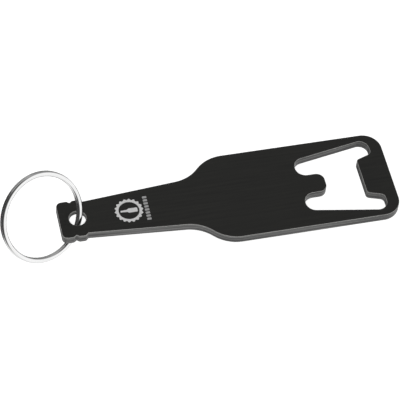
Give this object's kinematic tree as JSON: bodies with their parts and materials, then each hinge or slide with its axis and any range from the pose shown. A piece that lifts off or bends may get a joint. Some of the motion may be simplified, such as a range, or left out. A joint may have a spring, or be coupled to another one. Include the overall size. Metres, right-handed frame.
{
  "type": "keychain bottle opener",
  "caption": "Flat bottle-shaped opener plate with a cap-lifting cut-out and a split key ring swinging in a hole at its mouth end.",
  "frame": {"origin": "middle of the plate's underside, half way along its length and on its centre line", "axes": "+X along the plate from the ring end to the base of the bottle outline, +Y across it, +Z out of its front face"},
  "size_m": [0.106, 0.027, 0.0211],
  "materials": {
    "anodised_plate": "black anodised, satin, with a fine lengthwise grain",
    "ring_steel": "polished, nickel-plated steel"
  },
  "bodies": {
    "plate": {"opener_plate": "anodised_plate"},
    "key_ring": {"split_key_ring": "ring_steel"}
  },
  "joints": [
    {"name": "ring_swing", "type": "hinge", "parent": "plate", "child": "key_ring", "pos_m": [-0.0401, 0, 0.00125], "axis": [0, 0, 1], "range_deg": [-180, 115]}
  ]
}
